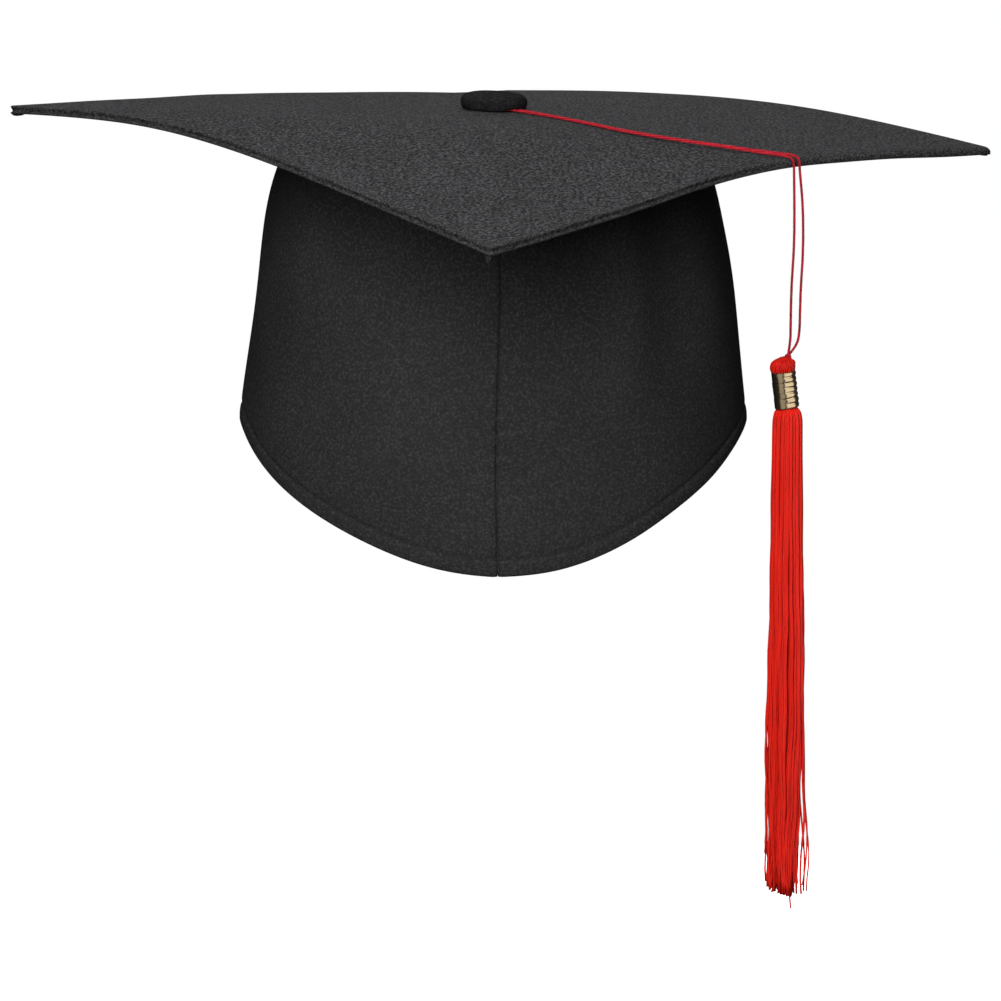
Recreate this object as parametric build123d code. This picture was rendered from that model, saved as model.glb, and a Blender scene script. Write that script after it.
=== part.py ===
from build123d import *
import os
from math import cos, exp, log, pi, radians, sin, sqrt

# Graduation cap with a square board, a soft crown with a pointed front hem, a covered button
# and a tassel on a looped cord. Millimetres. The origin is the centre of the head opening,
# level with the hem at the temples. +Z is up, -Y is the wearer's front, +X the wearer's left.

# ---- driving dimensions ----
BOARD_SIDE = 245.0
BOARD_RISE = 112.0            # board's upper surface above the temples' hem, at its centre
BOARD_CENTRE_X = 2.2          # the board was sewn on slightly off the crown's centre
BOARD_TURN = radians(-1.01)
CLOTH = 0.4                   # shell fabric
CARD = 1.85                   # stiffening card inside the board
CARD_SHORT = 0.65             # how far its edges stop short of the cloth
GAP = 0.05                    # space between stacked layers

# The card droops past the crown: a smooth fold towards each corner, plus a slight lean and twist.
FOLD_SOFTNESS = 13.6
FRONT_FOLD, FRONT_SLOPE, FRONT_SKEW = 65.3, 0.313, 0.113
BACK_FOLD, BACK_SLOPE = 57.4, 0.142
RIGHT_FOLD, RIGHT_SLOPE = 73.2, 0.063
LEFT_FOLD, LEFT_SLOPE = 76.9, 0.059
LEAN, TWIST, DISH = 0.0379, 0.0626, 0.0391

CROWN_HALF_WIDTH = 90.0       # at the temples, outside: a 58 cm head with its hair
CROWN_HALF_LENGTH = 94.0
CROWN_TAPER, SHOULDER, HEM_CURL = 0.12, 0.16, 0.35
SHOULDER_EASE = 0.1             # the wall narrows less on the wearer's right
FRONT_SEAM = radians(0.9)     # the front seam sits a little to the wearer's left
HEM_PEAK = -37.1              # lowest point of the hem, at the front
HEM_SLOPE = 0.59              # millimetres of rise for each degree round from the front peak
HEM_EASE = 12.2               # degrees over which it is slower to rise on the wearer's left
PEAK_ANGLE, PEAK_BLEND = 12.0, 7.0
TEMPLE_ANGLE, TEMPLE_BLEND = 80.0, 3.5
UNDER_BOARD = 0.15            # space between the crown's wall and the board
STIFFENER, LINING = 0.8, 0.3
BAND_HEIGHT, BAND_CLOTH = 24.0, 0.45
TAPE_WIDTH, TAPE = 12.0, 0.3
ELASTIC_HEIGHT, ELASTIC = 12.0, 1.0
ELASTIC_SPAN = radians(55)    # each side of the centre back
HEM_TURNING = 6.0             # stitched line above the hem

BUTTON_RADIUS, BUTTON_HEIGHT = 11.7, 6.4
BUTTON_WAIST = 2.9            # height of its widest line
SHANK_RADIUS = 2.2

CORD_DIAMETER = 0.9
EDGE_NORMAL = BOARD_TURN - pi / 4     # plan angle of the wearer's front-left edge
SWING_OUT = 0.87              # cord's centre outside the board's edge
SWING_RISE = 98.0             # height of the point that the cord bends at, beside the edge
LOOP_CLEAR = 0.12             # the loop clears the board, and more so away from the button
LOOP_RISE = 0.00012           # millimetres for each square millimetre of radius
KNOT_ALONG, KNOT_RISE, KNOT_RADIUS = 18.2, 36.4, 1.25

BAND_RADIUS, BAND_LENGTH, BAND_RIBS = 4.2, 12.6, 7
NECK_RADIUS = 3.25
HEAD_LENGTH = 4.9
TASSEL_LEAN = 6.7             # degrees, head and band only
NECK_X, NECK_RISE = 99.75, 18.2        # lower end of the band
SKIRT_X, SKIRT_TOP, SKIRT_END = 99.95, 17.2, -157.7

HALF_DIAGONAL = BOARD_SIDE / sqrt(2)
BOARD_THICK = 2 * CLOTH + CARD + 3 * GAP
CROWN_HEIGHT = BOARD_RISE - BOARD_THICK - GAP


def node(name, *solids):
    """Write one sub-part to its own file."""
    shape = solids[0] if len(solids) == 1 else Compound(children=list(solids))
    shape.label = name
    export_step(shape, f"parts/{name}.step")


# ---- surfaces ----
def hinge(distance, start, softness):
    """Nothing before start, then a slope of 1, with a smooth bend between them."""
    def bend(t):
        return softness * log(1 + exp(t / softness))
    return bend(distance - start) - bend(-start)


def board_plan(across, along):
    """A point of the turned square, from its own two sides."""
    x = (across + along) / sqrt(2)
    y = (across - along) / sqrt(2)
    c, s = cos(BOARD_TURN), sin(BOARD_TURN)
    return BOARD_CENTRE_X + x * c - y * s, x * s + y * c


def board_top(x, y):
    """Height of the board's upper surface."""
    c, s = cos(BOARD_TURN), sin(BOARD_TURN)
    right = (x - BOARD_CENTRE_X) * c + y * s
    back = y * c - (x - BOARD_CENTRE_X) * s
    droop = FRONT_SLOPE * hinge(-back - FRONT_SKEW * right, FRONT_FOLD, FOLD_SOFTNESS)
    droop += BACK_SLOPE * hinge(back, BACK_FOLD, FOLD_SOFTNESS)
    droop += RIGHT_SLOPE * hinge(right, RIGHT_FOLD, FOLD_SOFTNESS)
    droop += LEFT_SLOPE * hinge(-right, LEFT_FOLD, FOLD_SOFTNESS)
    lift = (TWIST * right * back + DISH * back * back) / HALF_DIAGONAL
    return BOARD_RISE - droop - LEAN * right + lift


def sheet(upper, lower, rows, columns):
    """A closed solid between two surfaces, each a function of u and v from 0 to 1."""
    def face(surface):
        grid = [
            [Vector(*surface(i / rows, j / columns)) for j in range(columns + 1)]
            for i in range(rows + 1)
        ]
        return Face.make_surface_from_array_of_points(grid, tol=0.01, max_deg=3)
    top, bottom = face(upper), face(lower)
    walls = []
    for edge in top.edges():
        mate = min(bottom.edges(), key=lambda other: (other.center() - edge.center()).length)
        walls.append(Face.make_surface_from_curves(edge, mate))
    return Solid(Shell([top, bottom] + walls))


def board_layer(top_depth, bottom_depth, inset=0.0):
    """A square layer of the board between two depths under its upper surface."""
    half = BOARD_SIDE / 2 - inset

    def at(depth):
        def point(u, v):
            x, y = board_plan((2 * u - 1) * half, (2 * v - 1) * half)
            return x, y, board_top(x, y) - depth
        return point
    return sheet(at(top_depth), at(bottom_depth), 24, 24)


def hem(angle):
    """Height of the crown's hem at a plan angle from the front, lowest at the front."""
    degrees = abs(angle) * 180 / pi
    if angle > 0:
        degrees *= 1 - exp(-(degrees / HEM_EASE) ** 1.17)
    rise = hinge(degrees, PEAK_ANGLE, PEAK_BLEND) - hinge(degrees, TEMPLE_ANGLE, TEMPLE_BLEND)
    return HEM_PEAK + HEM_SLOPE * rise


def crown_drift(height):
    """How far the soft wall stands over to the wearer's left at each height."""
    return exp(-((height - 57) / 24) ** 2) - 0.5 * exp(-((height - 2) / 20) ** 2)


def crown_plan(angle, height, inset):
    """A point of the crown's wall, inset from its outer surface."""
    s = height / CROWN_HEIGHT
    share = 1 - CROWN_TAPER * s
    shoulder = SHOULDER * (1 - SHOULDER_EASE * (1 - sin(angle)))
    share -= shoulder * s ** 6 if s > 0 else HEM_CURL * s * s
    x = (CROWN_HALF_WIDTH * share - inset) * sin(angle) + crown_drift(height)
    y = -(CROWN_HALF_LENGTH * share - inset) * cos(angle)
    return x, y, height


def crown_top(angle):
    """Height at which the crown's wall meets the board's underside."""
    height = CROWN_HEIGHT
    for _ in range(4):
        x, y, _ = crown_plan(angle, height, 0)
        height = board_top(x, y) - BOARD_THICK - UNDER_BOARD
    return height


def wall_layer(start, end, inset, thickness, low=None, high=None, rows=64, columns=20):
    """A layer of the crown's wall from one plan angle to another. Heights are functions of it."""
    low = low or hem
    high = high or crown_top

    def at(depth):
        def point(u, v):
            angle = start + (end - start) * u
            height = low(angle) + (high(angle) - low(angle)) * v
            return crown_plan(angle, height, depth)
        return point
    return sheet(at(inset), at(inset + thickness), rows, columns)


def board_plane(x, y, depth):
    """The plane that touches a layer of the board at a plan point."""
    step = 1.0
    slope_x = (board_top(x + step, y) - board_top(x - step, y)) / (2 * step)
    slope_y = (board_top(x, y + step) - board_top(x, y - step)) / (2 * step)
    return Plane(
        origin=(x, y, board_top(x, y) - depth),
        x_dir=(1, 0, slope_x),
        z_dir=(-slope_x, -slope_y, 1),
    )


# ---- board ----
def shank_hole():
    return board_plane(0, 0, 0) * Cylinder(SHANK_RADIUS + 0.2, 20)


def board_top_cover():
    """Top fabric, with its turned-down rim all round the card."""
    rim = BOARD_THICK - CLOTH - GAP
    outside = board_layer(0, rim)
    inside = board_layer(CLOTH, rim + 3, inset=CLOTH)
    return outside - inside - shank_hole()


def board_core():
    """The card, cut a little small so that the edge's seam can draw the cloth in under the rim."""
    return board_layer(CLOTH + GAP, CLOTH + GAP + CARD, inset=CLOTH + CARD_SHORT) - shank_hole()


def board_bottom_cover():
    return board_layer(BOARD_THICK - CLOTH, BOARD_THICK) - shank_hole()


def board_edge_seam():
    """Four runs of seam thread, one along the lower line of each edge."""
    thread = 0.3
    middle = BOARD_THICK - CLOTH - GAP / 2
    reach = BOARD_SIDE / 2 - 2

    def run(quarter):
        def at(depth):
            def point(u, v):
                out = BOARD_SIDE / 2 + 0.03 + thread * v
                along = (2 * u - 1) * reach
                sides = ((out, along), (-out, along), (along, out), (along, -out))
                x, y = board_plan(*sides[quarter])
                return x, y, board_top(x, y) - depth
            return point
        return sheet(at(middle - thread / 2), at(middle + thread / 2), 24, 1)
    return [run(quarter) for quarter in range(4)]


def board_corner_tucks():
    """The pinched end of the seam allowance under each corner. Only the front one hangs down."""
    back = 3.4
    tucks = []
    for quarter, drop in enumerate((0.8, 0.8, 0.8, 4.4)):
        angle = BOARD_TURN + quarter * pi / 2
        reach = HALF_DIAGONAL - back
        x = BOARD_CENTRE_X + reach * cos(angle)
        y = reach * sin(angle)
        base = board_plane(x, y, BOARD_THICK + 0.1)
        turn = Rot(0, 0, angle * 180 / pi)
        root = base * turn * Rectangle(4.4, 1.6)
        tip = base * Pos(0, 0, -drop) * turn * Pos(0.8, -0.3 * drop, 0) * Rectangle(0.9, 0.5)
        tucks.append(loft([root, tip]))
    return tucks


# ---- button ----
LOOP_ROOM, SEAT = 1.2, 8.6    # height and radius of the hollow under the button


def button_body(inset):
    """The button's rounded outline, drawn in by inset, turned about its axis."""
    def at(radius, height):
        share = 1 - inset / BUTTON_WAIST
        return radius - inset * radius / BUTTON_RADIUS, BUTTON_WAIST + (height - BUTTON_WAIST) * share
    with BuildPart() as body:
        with BuildSketch(Plane.XZ):
            with BuildLine():
                ThreePointArc(at(0, BUTTON_HEIGHT), at(5.8, 6.05), at(10.0, 4.8))
                ThreePointArc(at(10.0, 4.8), at(BUTTON_RADIUS, BUTTON_WAIST), at(10.9, 0.9))
                ThreePointArc(at(10.9, 0.9), at(10.4, 0.4), at(9.6, 0.2))
                Polyline(at(9.6, 0.2), at(0, 0.2), at(0, BUTTON_HEIGHT))
            make_face()
        revolve(axis=Axis.Z)
    return body.part


def cord_notch():
    """Room under the button's rim for the cord to leave by, over the loop's whole turn."""
    wedge = [Pos(0, 0, -0.5) * Rot(0, 0, turn) * Pos(10, 0, 0.75) * Box(12, 4.4, 1.9)
             for turn in (-69, -59, -49, -39)]
    return wedge[0] + wedge[1] + wedge[2] + wedge[3]


def button_parts():
    seat = board_plane(0, 0, 0)
    hollow = Pos(0, 0, LOOP_ROOM / 2 - 0.5) * Cylinder(SEAT, LOOP_ROOM + 1)
    cover = button_body(0) - button_body(0.45) - hollow - cord_notch()
    shell = button_body(0.5) - button_body(0.9) - hollow - cord_notch()
    back = Pos(0, 0, LOOP_ROOM + 0.75) * Cylinder(SEAT - 0.4, 0.5)
    shank_length = LOOP_ROOM + 0.4 + BOARD_THICK + 2.6
    shank = Pos(0, 0, LOOP_ROOM + 0.45 - shank_length / 2) * Cylinder(SHANK_RADIUS, shank_length)
    anchor = Pos(0, 0, -BOARD_THICK - 1.6) * (Cylinder(7, 0.9) - Cylinder(SHANK_RADIUS + 0.1, 2))
    node("button_cover", seat * cover)
    node("button_shell", seat * shell)
    node("button_back", seat * back)
    node("button_shank", seat * shank)
    node("button_anchor", seat * anchor)


# ---- crown ----
def crown_tip():
    """The oval of cloth that closes the crown under the board."""
    top = 0.975 - CROWN_TAPER - SHOULDER
    wall = CLOTH + STIFFENER + LINING + 4 * GAP + 0.8
    oval = Ellipse(CROWN_HALF_WIDTH * top - wall, CROWN_HALF_LENGTH * top - wall)
    depth = BOARD_THICK + 0.15
    column = Pos(0, 0, BOARD_RISE - 30) * extrude(oval, 60)
    return (board_layer(depth, depth + 0.5) & column) - shank_hole()


def halves(inset, thickness, **limits):
    """The wearer's right and left halves of a layer, from the front seam to the back seam."""
    seam = 0.0006
    right = wall_layer(FRONT_SEAM - seam, -pi + seam, inset, thickness, **limits)
    left = wall_layer(FRONT_SEAM + seam, pi - seam, inset, thickness, **limits)
    return right, left


def crown_parts():
    inset = 0.0
    right, left = halves(inset, CLOTH)
    node("crown_right_panel", right)
    node("crown_left_panel", left)
    inset += CLOTH + GAP
    right, left = halves(inset, STIFFENER)
    node("stiffener_right", right)
    node("stiffener_left", left)
    inset += STIFFENER + GAP
    right, left = halves(inset, LINING)
    node("lining_right", right)
    node("lining_left", left)
    inset += LINING + 2 * GAP
    seam_tapes(inset)
    hem_pieces(inset)


def seam_tapes(inset):
    """Tape over each inside seam, above the sweatband."""
    half = TAPE_WIDTH / 2 / CROWN_HALF_LENGTH

    def low(angle):
        return hem(angle) + BAND_HEIGHT + 1.5

    def high(angle):
        return crown_top(angle) - 4
    front = wall_layer(FRONT_SEAM - half, FRONT_SEAM + half, inset, TAPE, low, high, 4, 12)
    back = wall_layer(pi - half, pi + half, inset, TAPE, low, high, 4, 12)
    node("front_seam_tape", front)
    node("back_seam_tape", back)


def hem_pieces(inset):
    """Sweatband round the inside of the hem, and the elastic in its casing at the back."""
    def back_hem(angle):
        return hem(2 * pi - angle if angle > pi else angle)

    def strip(start, end, depth, thickness, low, high):
        return wall_layer(
            start, end, depth, thickness,
            lambda angle: back_hem(angle) + low, lambda angle: back_hem(angle) + high, 24, 4)
    open_at = 0.001
    band = [
        wall_layer(-pi + open_at, -open_at, inset, BAND_CLOTH, lambda a: hem(a) + 0.4,
                   lambda a: hem(a) + BAND_HEIGHT, 64, 6),
        wall_layer(open_at, pi - open_at, inset, BAND_CLOTH, lambda a: hem(a) + 0.4,
                   lambda a: hem(a) + BAND_HEIGHT, 64, 6),
    ]
    node("sweatband", *band)
    inset += BAND_CLOTH + GAP
    start, end = pi - ELASTIC_SPAN, pi + ELASTIC_SPAN
    node("elastic_band", strip(start, end, inset, ELASTIC, 3.0, 3.0 + ELASTIC_HEIGHT))
    inset += ELASTIC + GAP
    node("elastic_casing", strip(start - 0.05, end + 0.05, inset, CLOTH, 1.0, 5.0 + ELASTIC_HEIGHT))
    thread = 0.25
    lines = halves(-GAP - thread, thread, low=lambda a: hem(a) + HEM_TURNING,
                   high=lambda a: hem(a) + HEM_TURNING + thread, rows=64, columns=1)
    node("hem_stitching", *lines)


# ---- cord ----
def beside_edge(along, height, out=SWING_OUT):
    """A point beside the edge that the cord hangs over, measured along it from its middle."""
    reach = BOARD_SIDE / 2 + BOARD_CENTRE_X * cos(EDGE_NORMAL) + out
    x = reach * cos(EDGE_NORMAL) - along * sin(EDGE_NORMAL)
    y = reach * sin(EDGE_NORMAL) + along * cos(EDGE_NORMAL)
    return x, y, height


def on_board(x, y):
    clear = LOOP_CLEAR + LOOP_RISE * (x * x + y * y)
    return x, y, board_top(x, y) + CORD_DIAMETER / 2 + clear


def tube(name, points):
    """A round cord along straight runs joined by tangent arcs, as large as the runs allow."""
    points = [Vector(*point) for point in points]
    radii = []
    for before, corner, after in zip(points, points[1:], points[2:]):
        arriving, leaving = corner - before, after - corner
        half_turn = radians(arriving.get_angle(leaving)) / 2
        radii.append(0.45 * min(arriving.length, leaving.length) * cos(half_turn) / sin(half_turn))
    path = FilletPolyline(*points, radius=radii)
    start = Plane(origin=path @ 0, z_dir=path % 0)
    solid = sweep(start * Circle(CORD_DIAMETER / 2), path=path)
    expected = pi * CORD_DIAMETER ** 2 / 4 * path.length
    print(name, "radii", [round(r, 1) for r in radii], "length", round(path.length, 1),
          "volume share", round(solid.volume / expected, 3))
    return solid


def loop_route():
    """Up one strand from the edge, round the button's shank and back along the other."""
    return [
        beside_edge(20.1, SWING_RISE + 0.65),
        beside_edge(19.7, SWING_RISE + 4.7),
        beside_edge(18.6, SWING_RISE + 5.7, -1.3),
        beside_edge(14.2, SWING_RISE + 6.4, -6.6),
        on_board(72.6, -73.2),
        on_board(58.6, -67.0),
        on_board(44.0, -56.8),
        on_board(32.6, -41.4),
        on_board(20.0, -23.4),
        on_board(9.2, -9.6),
        on_board(3.4, -4.4),
        on_board(-1.9, -3.2),
        on_board(-4.0, 0.6),
        on_board(-1.4, 3.9),
        on_board(2.8, 2.9),
        on_board(5.6, -2.2),
        on_board(10.8, -8.4),
        on_board(21.0, -22.6),
        on_board(33.6, -40.6),
        on_board(45.0, -55.8),
        on_board(59.4, -66.0),
        on_board(73.2, -71.9),
        beside_edge(17.2, SWING_RISE + 6.5, -6.4),
        beside_edge(21.5, SWING_RISE + 5.9, -1.3),
        beside_edge(22.6, SWING_RISE + 4.9),
        beside_edge(22.9, SWING_RISE + 0.65),
    ]


def strand_routes():
    """The two strands that hang from the board's edge to the knot."""
    knot_top = KNOT_RISE + KNOT_RADIUS
    return [
        [
            beside_edge(20.1, SWING_RISE - 0.65),
            beside_edge(20.5, 86.0),
            beside_edge(20.6, 73.0),
            beside_edge(19.4, 59.0),
            beside_edge(19.3, 46.0),
            beside_edge(19.3, 40.6),
            beside_edge(KNOT_ALONG + 0.1, knot_top + 0.3),
        ],
        [
            beside_edge(23.1, SWING_RISE - 0.65),
            beside_edge(24.8, 86.0),
            beside_edge(25.2, 71.0),
            beside_edge(24.0, 57.0),
            beside_edge(23.9, 43.2),
            beside_edge(22.6, 39.8),
            beside_edge(KNOT_ALONG + 1.3, knot_top + 0.3),
        ],
    ]


# ---- tassel ----
def ribbed_band(bore):
    """A metal band with rolled ribs all round."""
    pitch = BAND_LENGTH / BAND_RIBS
    valley = BAND_RADIUS - 0.28
    with BuildPart() as band:
        with BuildSketch(Plane.XZ):
            with BuildLine():
                for rib in range(BAND_RIBS):
                    low, high = rib * pitch, (rib + 1) * pitch
                    ThreePointArc((valley, low), (BAND_RADIUS, (low + high) / 2), (valley, high))
                Polyline((valley, BAND_LENGTH), (bore, BAND_LENGTH), (bore, 0), (valley, 0))
            make_face()
        revolve(axis=Axis.Z)
    return band.part


def turned(*points):
    """A solid turned about Z from a closed outline of radius and height."""
    with BuildPart() as body:
        with BuildSketch(Plane.XZ):
            with BuildLine():
                Polyline(*points, points[0])
            make_face()
        revolve(axis=Axis.Z)
    return body.part


def tassel_parts():
    knot_place = Pos(*beside_edge(KNOT_ALONG, KNOT_RISE))
    node("cord_knot", knot_place * Sphere(KNOT_RADIUS))

    depth = beside_edge(KNOT_ALONG, 0)[1]
    leaning = Pos(NECK_X, depth, NECK_RISE) * Rot(0, -TASSEL_LEAN, 0)
    top = BAND_LENGTH + HEAD_LENGTH
    head = turned((0, -0.2), (NECK_RADIUS, -0.2), (NECK_RADIUS, BAND_LENGTH + 0.1),
                  (4.05, BAND_LENGTH + 0.2), (4.3, BAND_LENGTH + 1.8), (4.2, top - 1.7),
                  (3.4, top - 0.5), (1.8, top), (0, top))
    head = leaning * head - knot_place * Sphere(KNOT_RADIUS + 0.35)
    tie = leaning * turned((NECK_RADIUS + GAP, 0.6), (NECK_RADIUS + 0.45, 0.6),
                           (NECK_RADIUS + 0.45, 12.2), (NECK_RADIUS + GAP, 12.2))
    node("tassel_head", head)
    node("tassel_neck_tie", tie)
    node("tassel_band", leaning * ribbed_band(NECK_RADIUS + 0.5))
    skirt = turned((0, SKIRT_TOP), (4.5, SKIRT_TOP), (5.15, 14.0), (5.3, -11.0), (5.7, -53.0),
                   (6.4, -78.0), (6.4, -105.0), (5.5, -121.0), (5.3, -144.0), (2.6, SKIRT_END),
                   (0, SKIRT_END))
    node("tassel_skirt", Pos(SKIRT_X, depth, 0) * skirt)


os.makedirs("parts", exist_ok=True)
node("board_core", board_core())
node("board_top_cover", board_top_cover())
node("board_bottom_cover", board_bottom_cover())
node("board_edge_seam", *board_edge_seam())
node("board_corner_tucks", *board_corner_tucks())
button_parts()
node("crown_tip", crown_tip())
crown_parts()
node("cord_loop", tube("cord_loop", loop_route()))
node("cord_strands", *[tube("cord_strand", route) for route in strand_routes()])
tassel_parts()
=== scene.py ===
from math import copysign, cos, dist, pi, radians, sin, sqrt

import bpy
import bmesh
import numpy as np
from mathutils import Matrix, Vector


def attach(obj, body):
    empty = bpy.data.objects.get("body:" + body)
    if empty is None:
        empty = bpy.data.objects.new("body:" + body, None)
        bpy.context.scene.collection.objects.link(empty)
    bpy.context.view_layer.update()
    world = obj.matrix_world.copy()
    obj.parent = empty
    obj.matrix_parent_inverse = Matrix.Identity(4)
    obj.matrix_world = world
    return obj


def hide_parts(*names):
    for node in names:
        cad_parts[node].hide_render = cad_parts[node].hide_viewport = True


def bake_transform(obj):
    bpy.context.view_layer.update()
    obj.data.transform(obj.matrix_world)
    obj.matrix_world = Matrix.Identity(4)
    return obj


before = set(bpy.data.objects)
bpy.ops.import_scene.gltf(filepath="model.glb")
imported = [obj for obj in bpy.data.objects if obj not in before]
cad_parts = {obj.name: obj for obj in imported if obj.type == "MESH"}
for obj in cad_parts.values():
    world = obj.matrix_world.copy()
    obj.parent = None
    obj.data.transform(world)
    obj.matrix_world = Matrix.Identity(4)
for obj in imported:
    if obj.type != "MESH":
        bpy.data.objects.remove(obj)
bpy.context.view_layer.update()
MM = 0.001

# ---- camera ----
view_camera = bpy.data.cameras.new("camera")
view_camera.lens = 158.28
view_camera.sensor_width = 36.0
view_camera.clip_end = 50.0
camera = bpy.data.objects.new("camera", view_camera)
camera.location = (0.0024, -1.5517, 0.2644)
camera.rotation_euler = (radians(90 - 10.69), 0.0, 0.0)
bpy.context.scene.collection.objects.link(camera)
bpy.context.scene.camera = camera

# ---- the cap's own shapes, in millimetres ----
BOARD_SIDE, BOARD_RISE, BOARD_CENTRE_X = 245.0, 112.0, 2.2
BOARD_TURN = radians(-1.01)
BOARD_THICK = 2.8
HALF_DIAGONAL = BOARD_SIDE / sqrt(2)
FOLD_SOFTNESS = 13.6
FRONT_FOLD, FRONT_SLOPE, FRONT_SKEW = 65.3, 0.313, 0.113
BACK_FOLD, BACK_SLOPE = 57.4, 0.142
RIGHT_FOLD, RIGHT_SLOPE = 73.2, 0.063
LEFT_FOLD, LEFT_SLOPE = 76.9, 0.059
LEAN, TWIST, DISH = 0.0379, 0.0626, 0.0391
CROWN_HALF_WIDTH, CROWN_HALF_LENGTH = 90.0, 94.0      # outside, at the temples
CROWN_TAPER, SHOULDER, SHOULDER_EASE, HEM_CURL = 0.12, 0.16, 0.1, 0.35
CROWN_HEIGHT = BOARD_RISE - BOARD_THICK - 0.05
FRONT_SEAM = radians(0.9)
HEM_PEAK, HEM_SLOPE, HEM_EASE = -37.1, 0.59, 12.2
PEAK_ANGLE, PEAK_BLEND, TEMPLE_ANGLE, TEMPLE_BLEND = 12.0, 7.0, 80.0, 3.5
HEM_TURNING, BAND_HEIGHT, ELASTIC_SPAN = 6.0, 24.0, radians(55)
EDGE_NORMAL = BOARD_TURN - pi / 4
CORD_DIAMETER, SWING_OUT, SWING_RISE = 0.9, 0.87, 98.0
LOOP_CLEAR, LOOP_RISE = 0.12, 0.00012
KNOT_ALONG, KNOT_RISE, KNOT_RADIUS = 18.2, 36.4, 1.25
TASSEL_LEAN, NECK_X, NECK_RISE = radians(6.7), 99.75, 18.2
BAND_RADIUS, BAND_LENGTH, BAND_RIBS = 4.2, 12.6, 7
SKIRT_X, SKIRT_TOP, SKIRT_END = 99.95, 17.2, -157.7


def hinge(distance, start, softness):
    """Nothing before start, then a slope of 1, with a smooth bend between them."""
    def bend(t):
        return softness * np.logaddexp(0, np.asarray(t, float) / softness)
    return bend(distance - start) - bend(-start)


def board_plan(across, along):
    """From the board's own square, its sides along the axes, to its place on the cap."""
    x = (across + along) / sqrt(2)
    y = (across - along) / sqrt(2)
    c, s = cos(BOARD_TURN), sin(BOARD_TURN)
    return BOARD_CENTRE_X + x * c - y * s, x * s + y * c


def board_top(x, y):
    """Height of the board's top: a lean, a twist and a dish, with its four corners bent down."""
    c, s = cos(BOARD_TURN), sin(BOARD_TURN)
    right = (x - BOARD_CENTRE_X) * c + y * s
    back = y * c - (x - BOARD_CENTRE_X) * s
    droop = FRONT_SLOPE * hinge(-back - FRONT_SKEW * right, FRONT_FOLD, FOLD_SOFTNESS)
    droop = droop + BACK_SLOPE * hinge(back, BACK_FOLD, FOLD_SOFTNESS)
    droop = droop + RIGHT_SLOPE * hinge(right, RIGHT_FOLD, FOLD_SOFTNESS)
    droop = droop + LEFT_SLOPE * hinge(-right, LEFT_FOLD, FOLD_SOFTNESS)
    lift = (TWIST * right * back + DISH * back * back) / HALF_DIAGONAL
    return BOARD_RISE - droop - LEAN * right + lift


def hem(angle):
    """Height of the hem at a plan angle from the front, positive or negative, up to half a turn."""
    degrees = np.degrees(np.abs(angle))
    eased = degrees * (1 - np.exp(-(degrees / HEM_EASE) ** 1.17))
    degrees = np.where(np.asarray(angle) > 0, eased, degrees)
    rise = hinge(degrees, PEAK_ANGLE, PEAK_BLEND) - hinge(degrees, TEMPLE_ANGLE, TEMPLE_BLEND)
    return HEM_PEAK + HEM_SLOPE * rise


def crown_plan(angle, height, inset):
    """A point of the crown's plain shape, this far in from its outside."""
    s = height / CROWN_HEIGHT
    shoulder = SHOULDER * (1 - SHOULDER_EASE * (1 - np.sin(angle)))
    share = 1 - CROWN_TAPER * s - np.where(s > 0, shoulder * s ** 6, HEM_CURL * s * s)
    drift = np.exp(-((height - 57) / 24) ** 2) - 0.5 * np.exp(-((height - 2) / 20) ** 2)
    x = (CROWN_HALF_WIDTH * share - inset) * np.sin(angle) + drift
    y = -(CROWN_HALF_LENGTH * share - inset) * np.cos(angle)
    return x, y


def crown_top(angle):
    """Height at which the crown's wall meets the board."""
    height = np.full_like(np.asarray(angle, float), CROWN_HEIGHT)
    for _ in range(4):
        x, y = crown_plan(angle, height, 0)
        height = board_top(x, y) - BOARD_THICK - 0.15
    return height


def beside_edge(along, height, out=SWING_OUT):
    """A point beside the edge that the cord hangs over, measured along it from its middle."""
    reach = BOARD_SIDE / 2 + BOARD_CENTRE_X * cos(EDGE_NORMAL) + out
    x = reach * cos(EDGE_NORMAL) - along * sin(EDGE_NORMAL)
    y = reach * sin(EDGE_NORMAL) + along * cos(EDGE_NORMAL)
    return x, y, height


def on_board(x, y):
    """A point of the cord's centreline where it lies on the board."""
    clear = LOOP_CLEAR + LOOP_RISE * (x * x + y * y)
    return x, y, float(board_top(x, y)) + CORD_DIAMETER / 2 + clear


# ---- meshes ----
def grid_faces(rows, columns, first, flip):
    """Quads over a grid of points, row by row."""
    index = first + np.arange(rows * columns).reshape(rows, columns)
    quads = np.stack([index[:-1, :-1], index[1:, :-1], index[1:, 1:], index[:-1, 1:]], -1).reshape(-1, 4)
    return quads[:, ::-1] if flip else quads


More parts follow.
